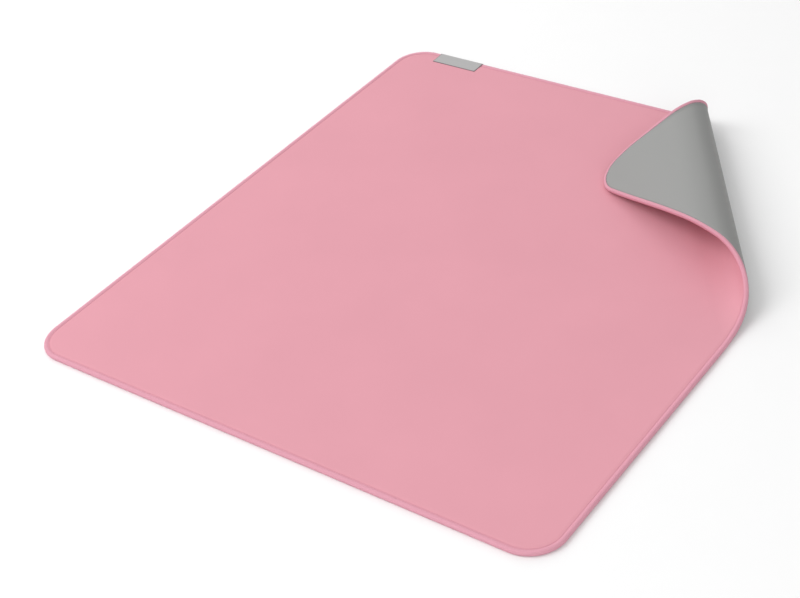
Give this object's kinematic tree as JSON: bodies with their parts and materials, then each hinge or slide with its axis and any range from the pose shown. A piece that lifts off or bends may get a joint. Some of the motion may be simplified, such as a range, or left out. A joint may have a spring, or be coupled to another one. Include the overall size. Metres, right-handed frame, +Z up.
{
  "type": "desk mat",
  "caption": "Flat rectangular desk mat of cloth on foam rubber, with an overlocked edge, a blank label and one corner curled over to show the grip base.",
  "frame": {"origin": "centre of the flat mat's outline, on the plane of the underside that lies on the desk", "axes": "+X along the front edge to the right, +Y towards the labelled back edge, +Z up from the desk"},
  "size_m": [0.4, 0.4504, 0.0321],
  "materials": {
    "cloth": "fine matte weave",
    "thread": "twisted polyester thread",
    "foam": "open cell foam rubber",
    "grip_rubber": "matte, finely textured",
    "label": "tight woven ribbon"
  },
  "bodies": {
    "root": {"grip_base": "grip_rubber", "foam_core": "foam", "surface_cloth": "cloth", "lower_looper_thread": "thread", "upper_looper_thread": "thread", "needle_thread": "thread", "label": "label"}
  },
  "joints": []
}
